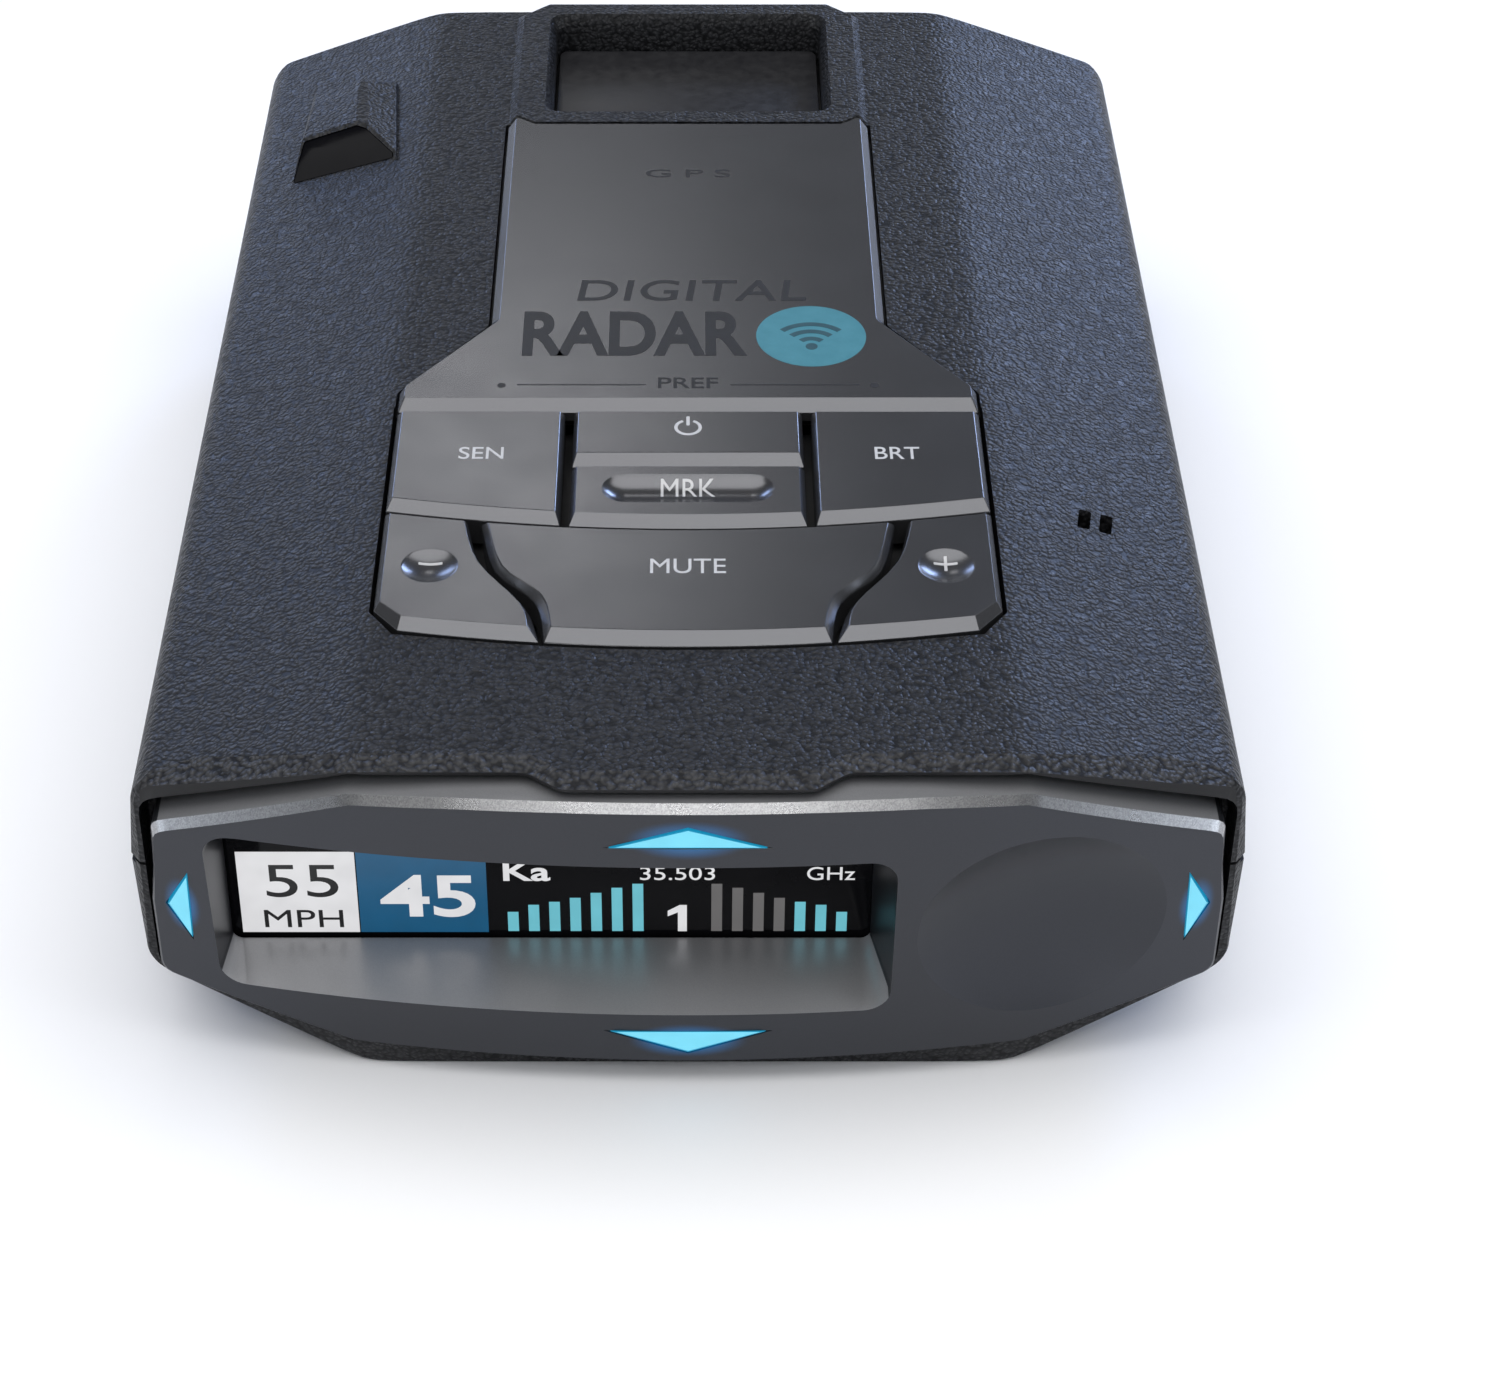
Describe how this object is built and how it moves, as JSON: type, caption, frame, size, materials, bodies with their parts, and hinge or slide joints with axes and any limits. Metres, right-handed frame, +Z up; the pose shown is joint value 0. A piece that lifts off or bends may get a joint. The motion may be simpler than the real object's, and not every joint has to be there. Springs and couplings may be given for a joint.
{
  "type": "radar detector",
  "caption": "Windshield radar detector with a recessed colour display, direction arrows, raised control strip with press buttons, laser sensor hood and a magnetic mount recess.",
  "frame": {"origin": "middle of the flat underside, at the centre of the object's box in x and y", "axes": "-Y is the display end facing the driver, +Y is the antenna end facing the road ahead, +X is the driver's right when looking at the display, +Z is up"},
  "size_m": [0.0904, 0.133, 0.035],
  "materials": {
    "case_plastic": "leather-grain textured charcoal plastic",
    "bezel_paint": "satin metallic gunmetal paint",
    "gunmetal_paint": "satin metallic gunmetal paint with bright chamfers",
    "black_lens": "glossy infrared-pass black",
    "clear_window": "smoked clear acrylic",
    "screen": "lit colour display",
    "arrow_lens": "translucent cyan light guide",
    "steel": "plated",
    "dark_steel": "satin black coated steel",
    "circuit_board": "green solder mask",
    "black_plastic": "moulded black plastic",
    "flex_film": "amber polyimide film",
    "cast_zinc": "die cast",
    "tinned_can": "tinned sheet",
    "ceramic": "unglazed ceramic",
    "paper_cone": "coated paper",
    "label_film": "blank silver film"
  },
  "bodies": {
    "casing": {"top_shell": "case_plastic", "bottom_shell": "case_plastic", "display_bezel": "bezel_paint", "display_window": "clear_window", "display_panel": "screen", "display_board": "circuit_board", "display_ribbon": "flex_film", "arrow_lens_up": "arrow_lens", "arrow_lens_down": "arrow_lens", "arrow_lens_left": "arrow_lens", "arrow_lens_right": "arrow_lens", "control_fascia": "gunmetal_paint", "button_guide": "black_plastic", "keypad_board": "circuit_board", "rearward_laser_lens": "black_lens", "rearward_laser_receiver": "black_plastic", "forward_laser_window": "black_lens", "forward_laser_receiver": "black_plastic", "light_sensor": "black_plastic", "mount_plate": "dark_steel", "mount_magnet_left": "steel", "mount_magnet_right": "steel", "main_board": "circuit_board", "rf_shield": "tinned_can", "wireless_module": "tinned_can", "gps_board": "circuit_board", "gps_patch": "ceramic", "forward_horn_antenna": "cast_zinc", "rearward_horn_antenna": "cast_zinc", "speaker_frame": "dark_steel", "speaker_cone": "paper_cone", "speaker_magnet": "steel", "power_jack": "black_plastic", "usb_port": "tinned_can", "earphone_jack": "black_plastic", "rating_label": "label_film", "switch_sensitivity": "black_plastic", "switch_power": "black_plastic", "switch_brightness": "black_plastic", "switch_mark": "black_plastic", "switch_minus": "black_plastic", "switch_plus": "black_plastic", "switch_mute": "black_plastic", "case_screw_front_left": "steel", "case_screw_front_right": "steel", "case_screw_rear_left": "steel", "case_screw_rear_right": "steel"},
    "sensitivity_button": {"button_sensitivity": "gunmetal_paint"},
    "power_button": {"button_power": "gunmetal_paint"},
    "brightness_button": {"button_brightness": "gunmetal_paint"},
    "mark_button": {"button_mark": "gunmetal_paint"},
    "minus_button": {"button_minus": "gunmetal_paint"},
    "plus_button": {"button_plus": "gunmetal_paint"},
    "mute_button": {"button_mute": "gunmetal_paint"}
  },
  "joints": [
    {"name": "sensitivity_press", "type": "slide", "parent": "casing", "child": "sensitivity_button", "axis": [0, 0, -1], "range_m": [0, 0.0006], "stiffness_N_per_m": 400, "springref_m": -0.0015},
    {"name": "power_press", "type": "slide", "parent": "casing", "child": "power_button", "axis": [0, 0, -1], "range_m": [0, 0.0006], "stiffness_N_per_m": 400, "springref_m": -0.0015},
    {"name": "brightness_press", "type": "slide", "parent": "casing", "child": "brightness_button", "axis": [0, 0, -1], "range_m": [0, 0.0006], "stiffness_N_per_m": 400, "springref_m": -0.0015},
    {"name": "mark_press", "type": "slide", "parent": "casing", "child": "mark_button", "axis": [0, 0, -1], "range_m": [0, 0.0006], "stiffness_N_per_m": 400, "springref_m": -0.0015},
    {"name": "minus_press", "type": "slide", "parent": "casing", "child": "minus_button", "axis": [0, 0, -1], "range_m": [0, 0.0006], "stiffness_N_per_m": 400, "springref_m": -0.0015},
    {"name": "plus_press", "type": "slide", "parent": "casing", "child": "plus_button", "axis": [0, 0, -1], "range_m": [0, 0.0006], "stiffness_N_per_m": 400, "springref_m": -0.0015},
    {"name": "mute_press", "type": "slide", "parent": "casing", "child": "mute_button", "axis": [0, 0, -1], "range_m": [0, 0.0006], "stiffness_N_per_m": 400, "springref_m": -0.0015}
  ]
}
